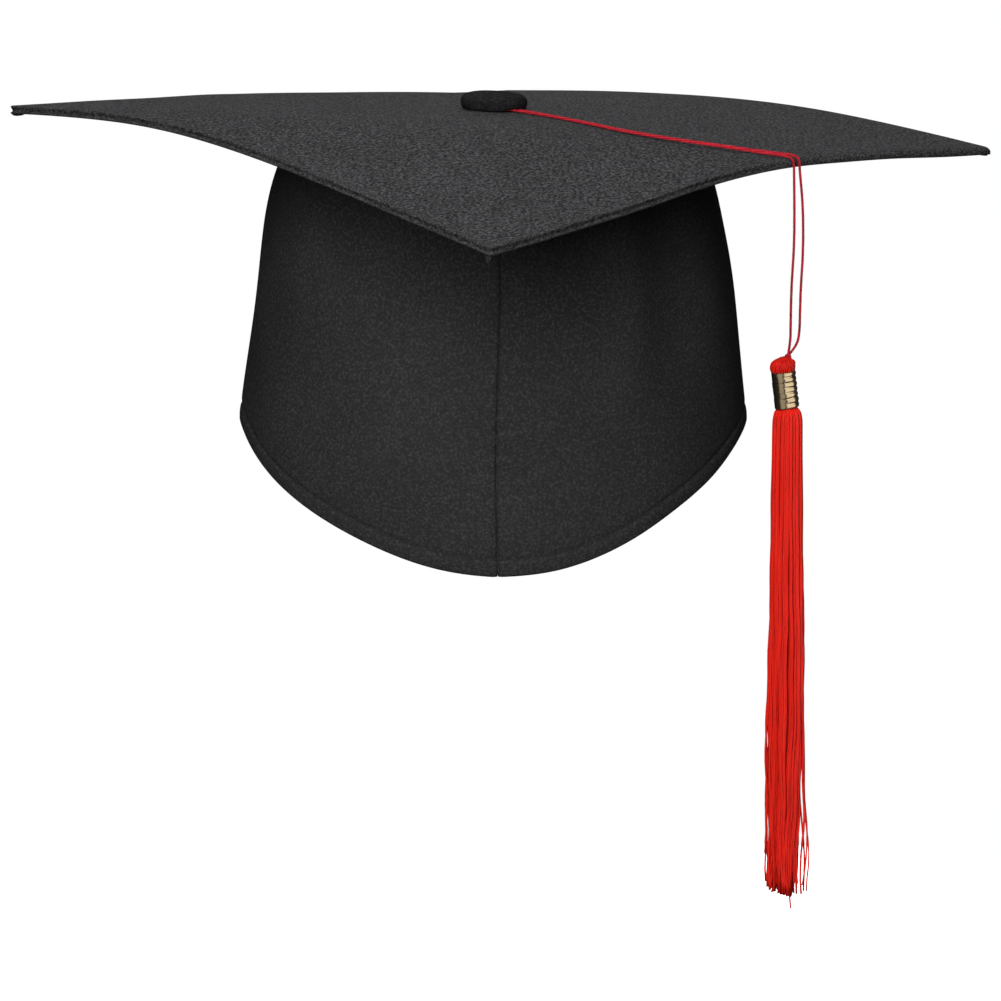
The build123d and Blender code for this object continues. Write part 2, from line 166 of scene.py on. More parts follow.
class Build:
    """Collects grids of points with their flat coordinates, and makes one mesh of them."""

    def __init__(self):
        self.verts, self.uvs, self.faces, self.count = [], [], [], 0

    def grid(self, points, uv, flip=False):
        rows, columns = points.shape[:2]
        self.faces.append(grid_faces(rows, columns, self.count, flip))
        self.verts.append(points.reshape(-1, 3))
        self.uvs.append(uv.reshape(-1, 2))
        self.count += rows * columns
        return self

    def make(self, name, material, body="cap", merge=True):
        """The mesh in metres, riding on a body."""
        faces = np.concatenate(self.faces)
        corner_uv = np.concatenate(self.uvs)[faces.ravel()]
        mesh = bpy.data.meshes.new(name)
        mesh.from_pydata((np.concatenate(self.verts) * MM).tolist(), [], faces.tolist())
        layer = mesh.uv_layers.new(name="metres")
        layer.data.foreach_set("uv", (corner_uv * MM).astype(np.float32).ravel())
        if merge:
            work = bmesh.new()
            work.from_mesh(mesh)
            bmesh.ops.remove_doubles(work, verts=work.verts, dist=2e-6)
            bmesh.ops.recalc_face_normals(work, faces=work.faces)
            work.to_mesh(mesh)
            work.free()
        mesh.polygons.foreach_set("use_smooth", [True] * len(mesh.polygons))
        mesh.materials.append(material)
        mesh.update()
        piece = bpy.data.objects.new(name, mesh)
        bpy.context.scene.collection.objects.link(piece)
        if body:
            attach(piece, body)
        return piece


def unit(v):
    return v / np.maximum(np.linalg.norm(v, axis=-1, keepdims=True), 1e-12)


def normals(points, flip=False):
    n = unit(np.cross(np.gradient(points, axis=0), np.gradient(points, axis=1)))
    return -n if flip else n


EDGE_ROUNDNESS = 0.45


def padded_grid(points, n, thick):
    """The grid with one more line of points round it, half-way through the thickness."""
    rows, columns = points.shape[:2]
    out = np.empty((rows + 2, columns + 2, 3))
    out[1:-1, 1:-1] = points

    def edge(line, inner, up):
        return line + unit(line - inner) * EDGE_ROUNDNESS * thick - up * thick / 2
    out[0, 1:-1] = edge(points[0], points[1], n[0])
    out[-1, 1:-1] = edge(points[-1], points[-2], n[-1])
    out[1:-1, 0] = edge(points[:, 0], points[:, 1], n[:, 0])
    out[1:-1, -1] = edge(points[:, -1], points[:, -2], n[:, -1])
    for i, j, a, b in ((0, 0, 1, 1), (0, -1, 1, -2), (-1, 0, -2, 1), (-1, -1, -2, -2)):
        out[i, j] = (out[i, b] + out[a, j]) / 2
    return out


def shell(build, points, uv, thick, flip=False):
    """A closed sheet of cloth with soft edges. Its points are the outer face."""
    n = normals(points, flip)
    uv = np.pad(uv, ((1, 1), (1, 1), (0, 0)), mode="edge")
    front = padded_grid(points, n, thick)
    back = padded_grid(points - n * thick, -n, thick)
    back[0], back[-1], back[:, 0], back[:, -1] = front[0], front[-1], front[:, 0], front[:, -1]
    return build.grid(front, uv, flip).grid(back, uv, not flip)


def path_frames(path):
    """Two directions square to a path at each of its points, turning as little as they can."""
    tangent = unit(np.gradient(path, axis=0))
    start = np.array([0.0, 0.0, 1.0]) if abs(tangent[0, 2]) < 0.9 else np.array([1.0, 0.0, 0.0])
    first = unit(np.cross(tangent[0], start))
    out = np.empty_like(path)
    for i, t in enumerate(tangent):
        first = unit(first - t * np.dot(first, t))
        out[i] = first
    return out, np.cross(tangent, out)


def lengths_along(path):
    return np.concatenate([[0], np.cumsum(np.linalg.norm(np.diff(path, axis=0), axis=1))])


def at_lengths(values, done, want):
    """Values given at some lengths along a path, read at others."""
    return np.stack([np.interp(want, done, values[:, k]) for k in range(3)], -1)


def resample(path, spacing):
    done = lengths_along(path)
    return at_lengths(path, done, np.linspace(0, done[-1], int(round(done[-1] / spacing)) + 1))


def tube(build, path, radius, sides, turn=0.0):
    """A round tube along a path, closed at both of its ends."""
    path = np.asarray(path, float)
    normal, side = path_frames(path)
    angles = np.linspace(0, 2 * pi, sides + 1) + turn
    ring = np.cos(angles)[None, :, None] * normal[:, None] + np.sin(angles)[None, :, None] * side[:, None]
    ends = np.repeat(path[[0, -1]][:, None], sides + 1, axis=1)
    rings = np.concatenate([ends[:1], path[:, None] + ring * radius, ends[1:]])
    along = np.concatenate([[0], lengths_along(path), [0]])
    around = np.linspace(0, 2 * pi, sides + 1) * radius
    return build.grid(rings, np.stack(np.broadcast_arrays(around[None, :], along[:, None]), -1), True)


def takes(piece, slot, *nodes):
    """The piece is shown in place of these CAD nodes, which are hidden. The slot is not used."""
    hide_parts(*nodes)


# ---- materials ----
ONE_BAND = 0.31416      # the wave texture's scale for one band in a metre


def set_values(node, values):
    for socket, value in values.items():
        node.inputs[socket].default_value = value


class Look:
    """A material while it is made. Each of its functions adds nodes or links to it."""

    def __init__(self, name):
        self.material = bpy.data.materials.new(name)
        self.material.use_nodes = True
        self.nodes, self.links = self.material.node_tree.nodes, self.material.node_tree.links
        self.shader = self.nodes["Principled BSDF"]

    def node(self, kind, values, sources, **settings):
        """A node with constants on some named sockets, links into others and settings of its own."""
        node = self.nodes.new(kind)
        for setting, value in settings.items():
            setattr(node, setting, value)
        set_values(node, values)
        for socket, source in sources.items():
            self.links.new(source, node.inputs[socket])
        return node

    def place(self, space):
        return self.node("ShaderNodeTexCoord", {}, {}).outputs[space]

    def combine(self, kind, first, second):
        """Two values added or multiplied. The second one may be a number."""
        values, sources = ({1: second}, {}) if isinstance(second, float) else ({}, {1: second})
        return self.node("ShaderNodeMath", values, {0: first, **sources}, operation=kind).outputs[0]

    def noise(self, place, scale, detail, roughness=0.5):
        values = {"Scale": scale, "Detail": detail, "Roughness": roughness}
        return self.node("ShaderNodeTexNoise", values, {"Vector": place}).outputs["Fac"]

    def mapped(self, place, values):
        return self.node("ShaderNodeMapping", values, {"Vector": place}).outputs["Vector"]

    def bands(self, place, direction, pitch, values):
        values = {"Scale": ONE_BAND / (pitch * MM), **values}
        node = self.node("ShaderNodeTexWave", values, {"Vector": place}, bands_direction=direction)
        return node.outputs["Fac"]

    def spread(self, value, values):
        return self.node("ShaderNodeMapRange", values, {"Value": value}).outputs["Result"]

    def ramp(self, value, stops):
        node = self.node("ShaderNodeValToRGB", {}, {"Fac": value})
        elements = node.color_ramp.elements
        elements[0].position, elements[1].position = stops[0][0], stops[-1][0]
        for position, _ in stops[1:-1]:
            elements.new(position)
        for element, (_, colour) in zip(elements, stops):
            element.color = (*colour, 1)
        return node.outputs["Color"]

    def relief(self, height, strength, distance):
        node = self.node("ShaderNodeBump", {"Strength": strength, "Distance": distance}, {"Height": height})
        self.links.new(node.outputs["Normal"], self.shader.inputs["Normal"])

    def colour(self, source):
        self.links.new(source, self.shader.inputs["Base Color"])

    def gloss(self, value, low, high):
        self.links.new(self.spread(value, {"To Min": low, "To Max": high}), self.shader.inputs["Roughness"])


def cloth(name, dark, light, tint=(1, 1, 1), pitch=0.45, fleck=0.75, mottle=0.12, bump=0.5,
          sheen=0.15, roughness=0.9, space="UV", shine=0.25):
    """Woven cloth: crossing threads, a fleck of lighter fibres and slow changes of shade."""
    look = Look(name)
    place = look.place(space)
    specks = look.noise(look.mapped(place, {"Rotation": (0.6, 0.5, 0.4)}), 1000 / fleck, 3.0, 0.62)
    shades = ((0.36, dark), (0.50, (dark + light) / 2.6), (0.66, light))
    colour = look.ramp(specks, [(at, tuple(shade * t for t in tint)) for at, shade in shades])
    mottled = {"From Min": 0.3, "From Max": 0.7, "To Min": 1 - mottle, "To Max": 1 + mottle}
    shade = look.spread(look.noise(place, 26.0, 3.0), mottled)
    shade = look.node("ShaderNodeCombineColor", {}, {0: shade, 1: shade, 2: shade}).outputs["Color"]
    shaded = look.node("ShaderNodeMix", {"Factor": 1.0}, {"A": colour, "B": shade}, data_type="RGBA",
                       blend_type="MULTIPLY")
    look.colour(shaded.outputs["Result"])
    rippled = {"Distortion": 1.6, "Detail": 1.0, "Detail Scale": 1.5}
    weave = look.combine("MULTIPLY", *(look.bands(place, direction, pitch, rippled) for direction in "XY"))
    fuzz = look.combine("MULTIPLY", look.noise(place, 1000 / fleck * 2.1, 2.0, 0.6), 0.5)
    look.relief(look.combine("ADD", weave, fuzz), bump, 0.00012)
    look.gloss(specks, roughness - 0.08, min(1.0, roughness + 0.08))
    set_values(look.shader, {"Specular IOR Level": shine, "Sheen Weight": sheen, "Sheen Roughness": 0.5})
    return look.material


def silk(name, dark, light, pitch=1.1, bump=0.4, roughness=0.42, ply_shading=0.45):
    """Shiny twisted thread: diagonal plies and fine lengthwise fibres of varying tone, with painted highlight
    along each ply's crest and painted shade between the plies.
    """
    look = Look(name)
    plies = look.bands(look.mapped(look.place("UV"), {"Rotation": (0, 0, radians(38))}), "Y", pitch,
                       {"Distortion": 0.8})
    drawn_out = look.mapped(look.place("Object"), {"Scale": (1.0, 1.0, 0.05)})
    fibres = look.noise(drawn_out, 900.0, 3.0, 0.6)
    # the plies' share of the colour is painted light and shade: lighter on their crests, darker between them
    painted_plies_and_fibres = look.combine("MULTIPLY", plies, ply_shading), look.combine("MULTIPLY", fibres, 1.2 - ply_shading)
    look.colour(look.ramp(look.combine("ADD", *painted_plies_and_fibres), [(0.25, dark), (0.75, light)]))
    look.relief(plies, bump, 0.00015)
    look.gloss(fibres, roughness - 0.08, roughness + 0.1)
    set_values(look.shader, {"Specular IOR Level": 0.2, "Sheen Roughness": 0.35})
    return look.material


def metal(name, colour, roughness):
    """Metal with fine wear in its gloss and small changes of colour."""
    look = Look(name)
    wear = look.noise(look.place("Object"), 700.0, 4.0, 0.65)
    look.colour(look.ramp(wear, [(0.3, tuple(0.82 * c for c in colour)), (0.7, colour)]))
    look.gloss(wear, roughness - 0.06, roughness + 0.06)
    look.relief(wear, 0.08, 0.00005)
    set_values(look.shader, {"Metallic": 1.0})
    return look.material


def black_cloth(name, dark, light, fleck=0.8, mottle=0.08):
    """The matt cloth of the outside, which shines too little to show the lamps."""
    return cloth(name, dark, light, (1, 1, 1.04), 0.42, fleck, mottle, sheen=0.0, shine=0.04)


board_cloth = black_cloth("board_cloth", 0.012, 0.090, fleck=1.0, mottle=0.05)
crown_cloth = black_cloth("crown_cloth", 0.022, 0.050, fleck=0.9)
under_cloth = black_cloth("under_cloth", 0.010, 0.060)
button_cloth = black_cloth("button_cloth", 0.009, 0.024)
lining_cloth = cloth("lining_cloth", 0.010, 0.020, (1, 1, 1.06), pitch=0.3, fleck=0.5, bump=0.3,
                     roughness=0.55, sheen=0.1)
stiff_cloth = cloth("stiff_cloth", 0.05, 0.12, pitch=0.9, fleck=1.1, bump=0.7)
tape_cloth = cloth("tape_cloth", 0.008, 0.022, pitch=0.6, fleck=0.7, bump=0.9)
band_cloth = cloth("band_cloth", 0.010, 0.026, pitch=0.9, fleck=0.7, bump=1.0, roughness=0.8)
card_paper = cloth("card_paper", 0.28, 0.42, (1.0, 0.93, 0.82), pitch=1.4, fleck=1.5, bump=0.15, sheen=0.0,
                   space="Object")
elastic_weave = cloth("elastic_weave", 0.012, 0.03, pitch=0.8, fleck=0.8, bump=0.9)
black_thread = silk("black_thread", (0.012, 0.012, 0.013), (0.04, 0.04, 0.043), roughness=0.6)
red_cord_silk = silk("red_cord_silk", (0.11, 0.003, 0.009), (0.55, 0.024, 0.038), pitch=0.9)
red_head_silk = silk("red_head_silk", (0.36, 0.006, 0.003), (0.66, 0.016, 0.009), pitch=0.8, ply_shading=0.15,
                     bump=0.15)
# the skirt's silk is the same thread as the head's, painted lighter to stand in for the light lost to shade
# between the skirt's many threads
red_thread_silk_painted_lighter = silk("red_thread_silk_painted_lighter", (0.60, 0.010, 0.004), (0.80, 0.022, 0.012), pitch=0.8, ply_shading=0.1,
                       bump=0.12)
gold_metal = metal("gold_metal", (0.74, 0.57, 0.34), 0.22)
steel_metal = metal("steel_metal", (0.56, 0.56, 0.57), 0.32)


# ---- the cord ----
def loop_route():
    """Up one strand from the edge, round the button's shank and back along the other."""
    return [
        beside_edge(20.1, SWING_RISE + 0.65), beside_edge(19.7, SWING_RISE + 4.7),
        beside_edge(18.6, SWING_RISE + 5.7, -1.3), beside_edge(14.2, SWING_RISE + 6.4, -6.6),
        on_board(72.6, -73.2), on_board(58.6, -67.0), on_board(44.0, -56.8), on_board(32.6, -41.4),
        on_board(20.0, -23.4), on_board(9.2, -9.6), on_board(3.4, -4.4), on_board(-1.9, -3.2),
        on_board(-4.0, 0.6), on_board(-1.4, 3.9), on_board(2.8, 2.9), on_board(5.6, -2.2),
        on_board(10.8, -8.4), on_board(21.0, -22.6), on_board(33.6, -40.6), on_board(45.0, -55.8),
        on_board(59.4, -66.0), on_board(73.2, -71.9), beside_edge(17.2, SWING_RISE + 6.5, -6.4),
        beside_edge(21.5, SWING_RISE + 5.9, -1.3), beside_edge(22.6, SWING_RISE + 4.9),
        beside_edge(22.9, SWING_RISE + 0.65),
    ]


def strand_routes():
    """The two strands that hang from the board's edge to the knot, and a little way into it."""
    knot_top = KNOT_RISE + KNOT_RADIUS
    return [
        [
            beside_edge(20.1, SWING_RISE - 0.65), beside_edge(20.5, 86.0), beside_edge(20.6, 73.0),
            beside_edge(19.4, 59.0), beside_edge(19.3, 46.0), beside_edge(19.3, 40.6),
            beside_edge(KNOT_ALONG, knot_top - 1.4),
        ],
        [
            beside_edge(23.1, SWING_RISE - 0.65), beside_edge(24.8, 86.0), beside_edge(25.2, 71.0),
            beside_edge(24.0, 57.0), beside_edge(23.9, 42.6), beside_edge(22.2, 38.8),
            beside_edge(KNOT_ALONG + 0.5, knot_top - 1.3),
        ],
    ]


def smooth_line(route):
    """Points along the NURBS line of a route, in millimetres."""
    curve = bpy.data.curves.new("route", "CURVE")
    curve.dimensions = "3D"
    spline = curve.splines.new("NURBS")
    spline.points.add(len(route) - 1)
    for point, place in zip(spline.points, route):
        point.co = (*(c * MM for c in place), 1.0)
    spline.order_u = 3
    spline.use_endpoint_u = True
    spline.resolution_u = 24
    holder = bpy.data.objects.new("route", curve)
    bpy.context.scene.collection.objects.link(holder)
    bpy.context.view_layer.update()
    mesh = bpy.data.meshes.new_from_object(holder)
    points = np.array([v.co for v in mesh.vertices]) / MM
    bpy.data.objects.remove(holder)
    bpy.data.meshes.remove(mesh)
    return points


def plied(build, path, plies, offset, radius, pitch):
    """Plies wound round a path."""
    normal, side = path_frames(path)
    done = lengths_along(path)
    for ply in range(plies):
        angle = 2 * pi * (ply / plies + done / pitch)
        centre = path + offset * (np.cos(angle)[:, None] * normal + np.sin(angle)[:, None] * side)
        tube(build, centre, radius, 6)
    return build


left_strand, right_strand = strand_routes()
cord_line = smooth_line(left_strand[::-1] + loop_route() + right_strand)
cord_path = resample(cord_line, 0.3)
cord = plied(Build(), cord_path, 3, 0.24, 0.25, 2.6).make("tassel_cord", red_cord_silk, None, merge=False)
takes(cord, "red_cord", "cord_loop", "cord_strands")
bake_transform(cord)


# ---- the tassel ----
knot_place = np.array(beside_edge(KNOT_ALONG, KNOT_RISE))
tassel_depth = knot_place[1]


def leaning(points):
    """From the head and band's own frame, standing on the band's lower end, to the cap's."""
    c, s = cos(TASSEL_LEAN), sin(TASSEL_LEAN)
    x, y, z = points[..., 0], points[..., 1], points[..., 2]
    return np.stack([NECK_X + x * c - z * s, tassel_depth + y, NECK_RISE + x * s + z * c], -1)


def eased(points, times=3):
    """A line with its corners cut off again and again. Its ends stay."""
    points = np.asarray(points, float)
    for _ in range(times):
        near, far = 0.75 * points[:-1] + 0.25 * points[1:], 0.25 * points[:-1] + 0.75 * points[1:]
        cut = np.stack([near, far], 1).reshape(-1, points.shape[1])
        points = np.concatenate([points[:1], cut, points[-1:]])
    return points


def turned_rings(profile, around, shape=None):
    """A profile of (radius, height) turned about Z. shape changes radius and height by the angle."""
    profile = np.asarray(profile, float)
    angle = np.linspace(0, 2 * pi, around + 1)[None, :]
    radius, height = profile[:, :1] + 0 * angle, profile[:, 1:] + 0 * angle
    if shape:
        radius, height = shape(radius, height, angle)
    points = np.stack([radius * np.cos(angle), radius * np.sin(angle), height], -1)
    run = np.concatenate([[0], np.cumsum(np.hypot(*np.diff(profile, axis=0).T))])[:, None]
    uv = np.stack([angle * np.max(profile[:, 0]) + 0 * run, run + 0 * angle], -1)
    return points, uv


def knot_line():
    """The cord's two turns through itself, drawn tight."""
    t = np.linspace(0, 2 * pi, 90)
    ring = 0.74 + 0.40 * np.cos(3 * t)
    flat = np.stack([ring * np.cos(2 * t), ring * np.sin(2 * t) * 0.8, 0.52 * np.sin(3 * t)], -1)
    tilt = radians(62)
    x, y, z = flat.T
    return np.stack([x, y * cos(tilt) - z * sin(tilt), y * sin(tilt) + z * cos(tilt)], -1)


knot = plied(Build(), knot_place - [0.1, 0, 0.75] + 0.8 * knot_line(), 3, 0.17, 0.2, 2.2)
knot = knot.make("cord_tied_knot", red_cord_silk, "tassel_knot")
takes(knot, "red_cord", "cord_knot")


def above(height, start, span):
    """How far up a stretch this height is, from 0 to 1."""
    return np.clip((height - start) / span, 0, 1)


def head_threads(build, count=34):
    """The skirt's threads folded over the cord and gathered at the knot, low at their right shoulder."""
    rng = np.random.default_rng(3)
    outline = eased([(3.1, 11.4), (3.4, 12.3), (3.8, 12.9), (4.05, 13.9), (3.95, 15.3), (3.5, 16.2),
                     (2.2, 16.9), (0.8, 17.3), (0.2, 16.9)], 2)
    for k in range(count):
        angle = 2 * pi * (k + rng.uniform(-0.18, 0.18)) / count
        left = (1 - cos(angle)) / 2
        radius = outline[:, 0] + rng.uniform(-0.07, 0.08)
        height = outline[:, 1] - 0.1 * left * above(outline[:, 1], 13.5, 3.5)
        drawn = above(outline[:, 1], 12.6, 4.4) ** 1.5
        swirl = angle + 0.22 * drawn
        slump = 0.6 * above(height, 12.6, 2.4)
        path = np.stack([1.5 * drawn - slump + radius * np.cos(swirl), radius * np.sin(swirl), height], -1)
        path[:, 2] -= 0.75 * (1 - left) * above(path[:, 2], 13.5, 3.5) * (radius > 2)
        tube(build, leaning(path), 0.37 + rng.uniform(-0.02, 0.03), 7)
    outline = [(0.01, 10.5), (2.9, 10.5), (3.5, 12.4), (3.8, 13.9), (3.5, 15.5), (1.8, 16.6), (0.01, 16.8)]
    core, uv = turned_rings(outline, 24)
    height = core[..., 2].copy()
    core[..., 0] += 1.2 * above(height, 12.6, 4.4) ** 1.5 - 0.35 * above(height, 12.6, 2.4)
    core[..., 2] -= 0.35 * above(height, 13.5, 3.5) * (1 - core[..., 0] / 4) / 2
    return build.grid(leaning(core), uv, True)


head = head_threads(Build()).make("tassel_folded_head", red_head_silk, "tassel", merge=False)
takes(head, "red_thread", "tassel_head")


def neck_winding(turns=24, radius=3.48, start=0.6, rise=11.4):
    """A thread wound round the neck behind the band."""
    t = np.linspace(0, turns, turns * 20)
    angle = 2 * pi * t
    return leaning(np.stack([radius * np.cos(angle), radius * np.sin(angle), start + rise * t / turns], -1))


tie = tube(Build(), neck_winding(), 0.2, 6).make("tassel_winding", red_cord_silk, "tassel", merge=False)
takes(tie, "red_thread", "tassel_neck_tie")


def gold_rings():
    """One strip of metal rolled into ribs and pressed round the neck, a little unevenly."""
    pitch = BAND_LENGTH / BAND_RIBS
    rolled = [(k + 0.5) / 9 for k in range(9 * BAND_RIBS)]
    profile = [(3.78, 0.35), (3.72, 0.12), (3.8, 0.0)]
    profile += [(BAND_RADIUS - 0.34 * (1 - sin(pi * (t % 1)) ** 0.8), t * pitch) for t in rolled]
    profile += [(3.8, BAND_LENGTH), (3.72, BAND_LENGTH - 0.12), (3.78, BAND_LENGTH - 0.35), profile[0]]

    def press(radius, height, angle):
        """Flattened on the side that faces front and right, with each rib a little out of round."""
        rib = np.floor(np.clip(height / pitch, 0, BAND_RIBS - 0.01))
        away = np.degrees(np.abs((angle + radians(30) + pi) % (2 * pi) - pi))
        flat = 0.96 / (1 + np.exp((57 - away) / 9))
        radius = radius + flat * (BAND_RADIUS - radius) * (radius > BAND_RADIUS - 0.35)
        radius = radius + 0.05 * np.sin(2 * angle + 2.1 * rib) + 0.025 * np.sin(5 * angle + 1.3 * rib)
        radius = radius - 0.28 * np.exp(-((angle - 1.9) / 0.05) ** 2)
        return radius, height + 0.09 * np.sin(angle + 0.9 * rib) * np.sin(pi * height / BAND_LENGTH)
    return turned_rings(profile, 144, press)


points, uv = gold_rings()
band = Build().grid(leaning(points), uv, True).make("tassel_gold_rings", gold_metal, "tassel", merge=False)
takes(band, "gold_band", "tassel_band")


GOLDEN_ANGLE = 2.39996


def skirt_threads(build, count=230, lock_count=17, longest=55):
    """Loose threads hanging from the neck, filling out below it and ending unevenly."""
    rng = np.random.default_rng(21)
    heights = np.array([SKIRT_TOP, 14.0, -11.0, -53.0, -78.0, -105.0, -121.0, -144.0, SKIRT_END])
    reach = np.array([4.5, 5.2, 5.5, 6.0, 6.3, 6.1, 5.6, 5.4, 4.8])
    # the few threads that stand away from the rest: plan angle, the height it starts at, how far
    strays = [(181, -46, 0.8), (197, -60, 1.2), (166, -84, 1.3), (205, -95, 0.6),
              (3, -90, 3.2), (-13, -100, 4.8), (15, -112, 4.2), (-28, -84, 2.0)]
    # neighbouring threads hang in locks that bend together
    locks = rng.uniform((26, 0, 0, 24, 0), (45, 6.3, 6.3, 40, 6.3), (lock_count, 5))
    for k in range(count + len(strays)):
        share = sqrt(min(1.0, (k + 0.5) / count))
        angle = k * GOLDEN_ANGLE + rng.uniform(-0.1, 0.1)
        plan, start, bow = strays[k - count] if k >= count else (0, 0, 0)
        angle = radians(plan) if bow else angle
        end = SKIRT_END
        if k != longest:
            end += 4.2 + min(13.0, rng.exponential(3.0)) + 1.5 * (1 - cos(angle)) * share
        z = np.concatenate([[19.6, 18.6, 17.9, 17.2, 16.3, 15.2, 14.0, 12.0, 9.0], np.linspace(5.0, end, 36)])
        radius = share * (np.interp(z, heights[::-1], reach[::-1]) - 0.33)
        radius = np.where(z > 17.8, share * 2.9, radius)
        radius = np.convolve(np.pad(radius, 1, mode="edge"), [0.25, 0.5, 0.25], mode="valid")
        depth = np.clip((14 - z) / 168, 0, 1)
        lock = locks[int(angle * lock_count / (2 * pi)) % lock_count]
        bend, shift_x, shift_y, long, phase = lock + rng.normal(0, 0.25, 5)
        turn = angle + 0.16 * np.sin(z / long + phase) * depth
        x, y = radius * np.cos(turn), radius * np.sin(turn)
        own_wave, (own_x, own_y) = rng.uniform(9, 16), rng.uniform(0, 6.3, 2)
        for wave, size, first, second in ((bend, 0.3, shift_x, shift_y), (own_wave, 0.05, own_x, own_y)):
            x = x + size * depth ** 0.7 * np.sin(2 * pi * z / wave + first)
            y = y + size * depth ** 0.7 * np.sin(2 * pi * z / wave + second)
        curl = np.clip((end + 9 - z) / 9, 0, 1) ** 2
        x, y = x + rng.normal(0, 0.55) * curl, y + rng.normal(0, 0.5) * curl
        away = copysign(bow, cos(angle))
        x = x + away * np.clip((start - z) / 40, 0, 1) ** 1.3 * (1 - 0.3 * depth ** 8)
        x = x + 0.7 * np.exp(-((z + 80) / 50) ** 2)
        path = np.stack([SKIRT_X + x, tassel_depth + y, z], -1)
        path[:2, 0] = NECK_X + x[:2]
        tube(build, path, 0.33 + rng.uniform(-0.04, 0.04), 6, rng.uniform(0, 6))
    return build


skirt = skirt_threads(Build()).make("tassel_threads", red_thread_silk_painted_lighter, "tassel", merge=False)
takes(skirt, "red_thread", "tassel_skirt")

# ---- light, floor and backdrop ----
scene = bpy.context.scene
scene.view_settings.view_transform = "Standard"
scene.view_settings.look = "None"


def area_light(name, place, target, size, power):
    """A lamp that lights cloth. One named as a card is dim, and only polished metal reflects it."""
    lamp = bpy.data.lights.new(name, "AREA")
    lamp.shape = "RECTANGLE"
    lamp.size, lamp.size_y = size
    lamp.energy = power
    light = bpy.data.objects.new(name, lamp)
    light.location = place
    light.rotation_euler = (Vector(target) - Vector(place)).to_track_quat("-Z", "Y").to_euler()
    light.visible_glossy = name.startswith("card")
    light.visible_diffuse = not light.visible_glossy
    scene.collection.objects.link(light)


area_light("key", (-0.28, -1.75, 0.75), (0, 0, 0.02), (0.65, 1.3), 38)
area_light("top", (-0.1, 0.0, 1.6), (0, 0, 0.1), (1.6, 1.3), 16)
area_light("back", (-0.1, 1.8, 0.5), (0, 0, 0.0), (1.4, 1.0), 34)
area_light("card_above", (-0.4, -1.65, 1.15), (0.1, -0.08, 0.03), (0.9, 0.8), 0.6)
area_light("card_front", (-0.75, -1.3, 0.1), (0.1, -0.08, 0.03), (1.3, 1.8), 2.8)
area_light("card_side", (1.05, -1.05, 0.12), (0.1, -0.08, 0.03), (2.3, 1.9), 15.0)

world = bpy.data.worlds.new("studio")
scene.world = world
world.use_nodes = True
world_nodes, world_links = world.node_tree.nodes, world.node_tree.links
background = world_nodes["Background"]
background.inputs["Color"].default_value = (0.03, 0.03, 0.03, 1)
bright = world_nodes.new("ShaderNodeBackground")
bright.inputs["Color"].default_value = (1, 1, 1, 1)
seen_by = world_nodes.new("ShaderNodeLightPath")
world_mix = world_nodes.new("ShaderNodeMixShader")
for k, source in enumerate((seen_by.outputs["Is Camera Ray"], background.outputs[0], bright.outputs[0])):
    world_links.new(source, world_mix.inputs[k])
world_links.new(world_mix.outputs[0], world_nodes["World Output"].inputs["Surface"])

floor_look = Look("floor_paper")
set_values(floor_look.shader, {"Base Color": (0.93, 0.93, 0.93, 1), "Roughness": 0.9,
                               "Emission Color": (1, 1, 1, 1), "Emission Strength": 0.85})
floor_mesh = bpy.data.meshes.new("floor")
FLOOR_Z, FLOOR_REACH, FLOOR_SIDES = -0.45, 1.1, 96
floor_turns = [2 * pi * k / FLOOR_SIDES for k in range(FLOOR_SIDES)]
floor_rim = [(FLOOR_REACH * cos(turn), FLOOR_REACH * sin(turn), FLOOR_Z) for turn in floor_turns]
floor_mesh.from_pydata(floor_rim, [], [list(range(FLOOR_SIDES))])
floor_mesh.materials.append(floor_look.material)
floor = bpy.data.objects.new("floor", floor_mesh)
scene.collection.objects.link(floor)
# the floor is seen bright, but it doesn't light the cap from below
floor.visible_diffuse = floor.visible_glossy = False


# ---- board ----
def corner_round(x, y, half, radius):
    """Keeps points of a square inside rounded corners."""
    flat = half - radius
    ox, oy = np.abs(x) - flat, np.abs(y) - flat
    both = (ox > 0) & (oy > 0)
    scale = np.maximum(ox, oy) / np.maximum(np.hypot(ox, oy), 1e-9)
    return [np.where(both, np.sign(v) * (flat + over * scale), v) for v, over in ((x, ox), (y, oy))]


def board_ripple(x, y):
    """Small waves of the top cloth over the card, in millimetres."""
    rng = np.random.default_rng(7)
    out = 0.0
    for _ in range(14):
        angle, wave, phase = rng.uniform(0, pi), rng.uniform(45, 120), rng.uniform(0, 6.28)
        out = out + 0.05 * np.sin((x * np.cos(angle) + y * np.sin(angle)) * 2 * pi / wave + phase)
    return out


CORNER_RADIUS = 0.5
CELLS = 150


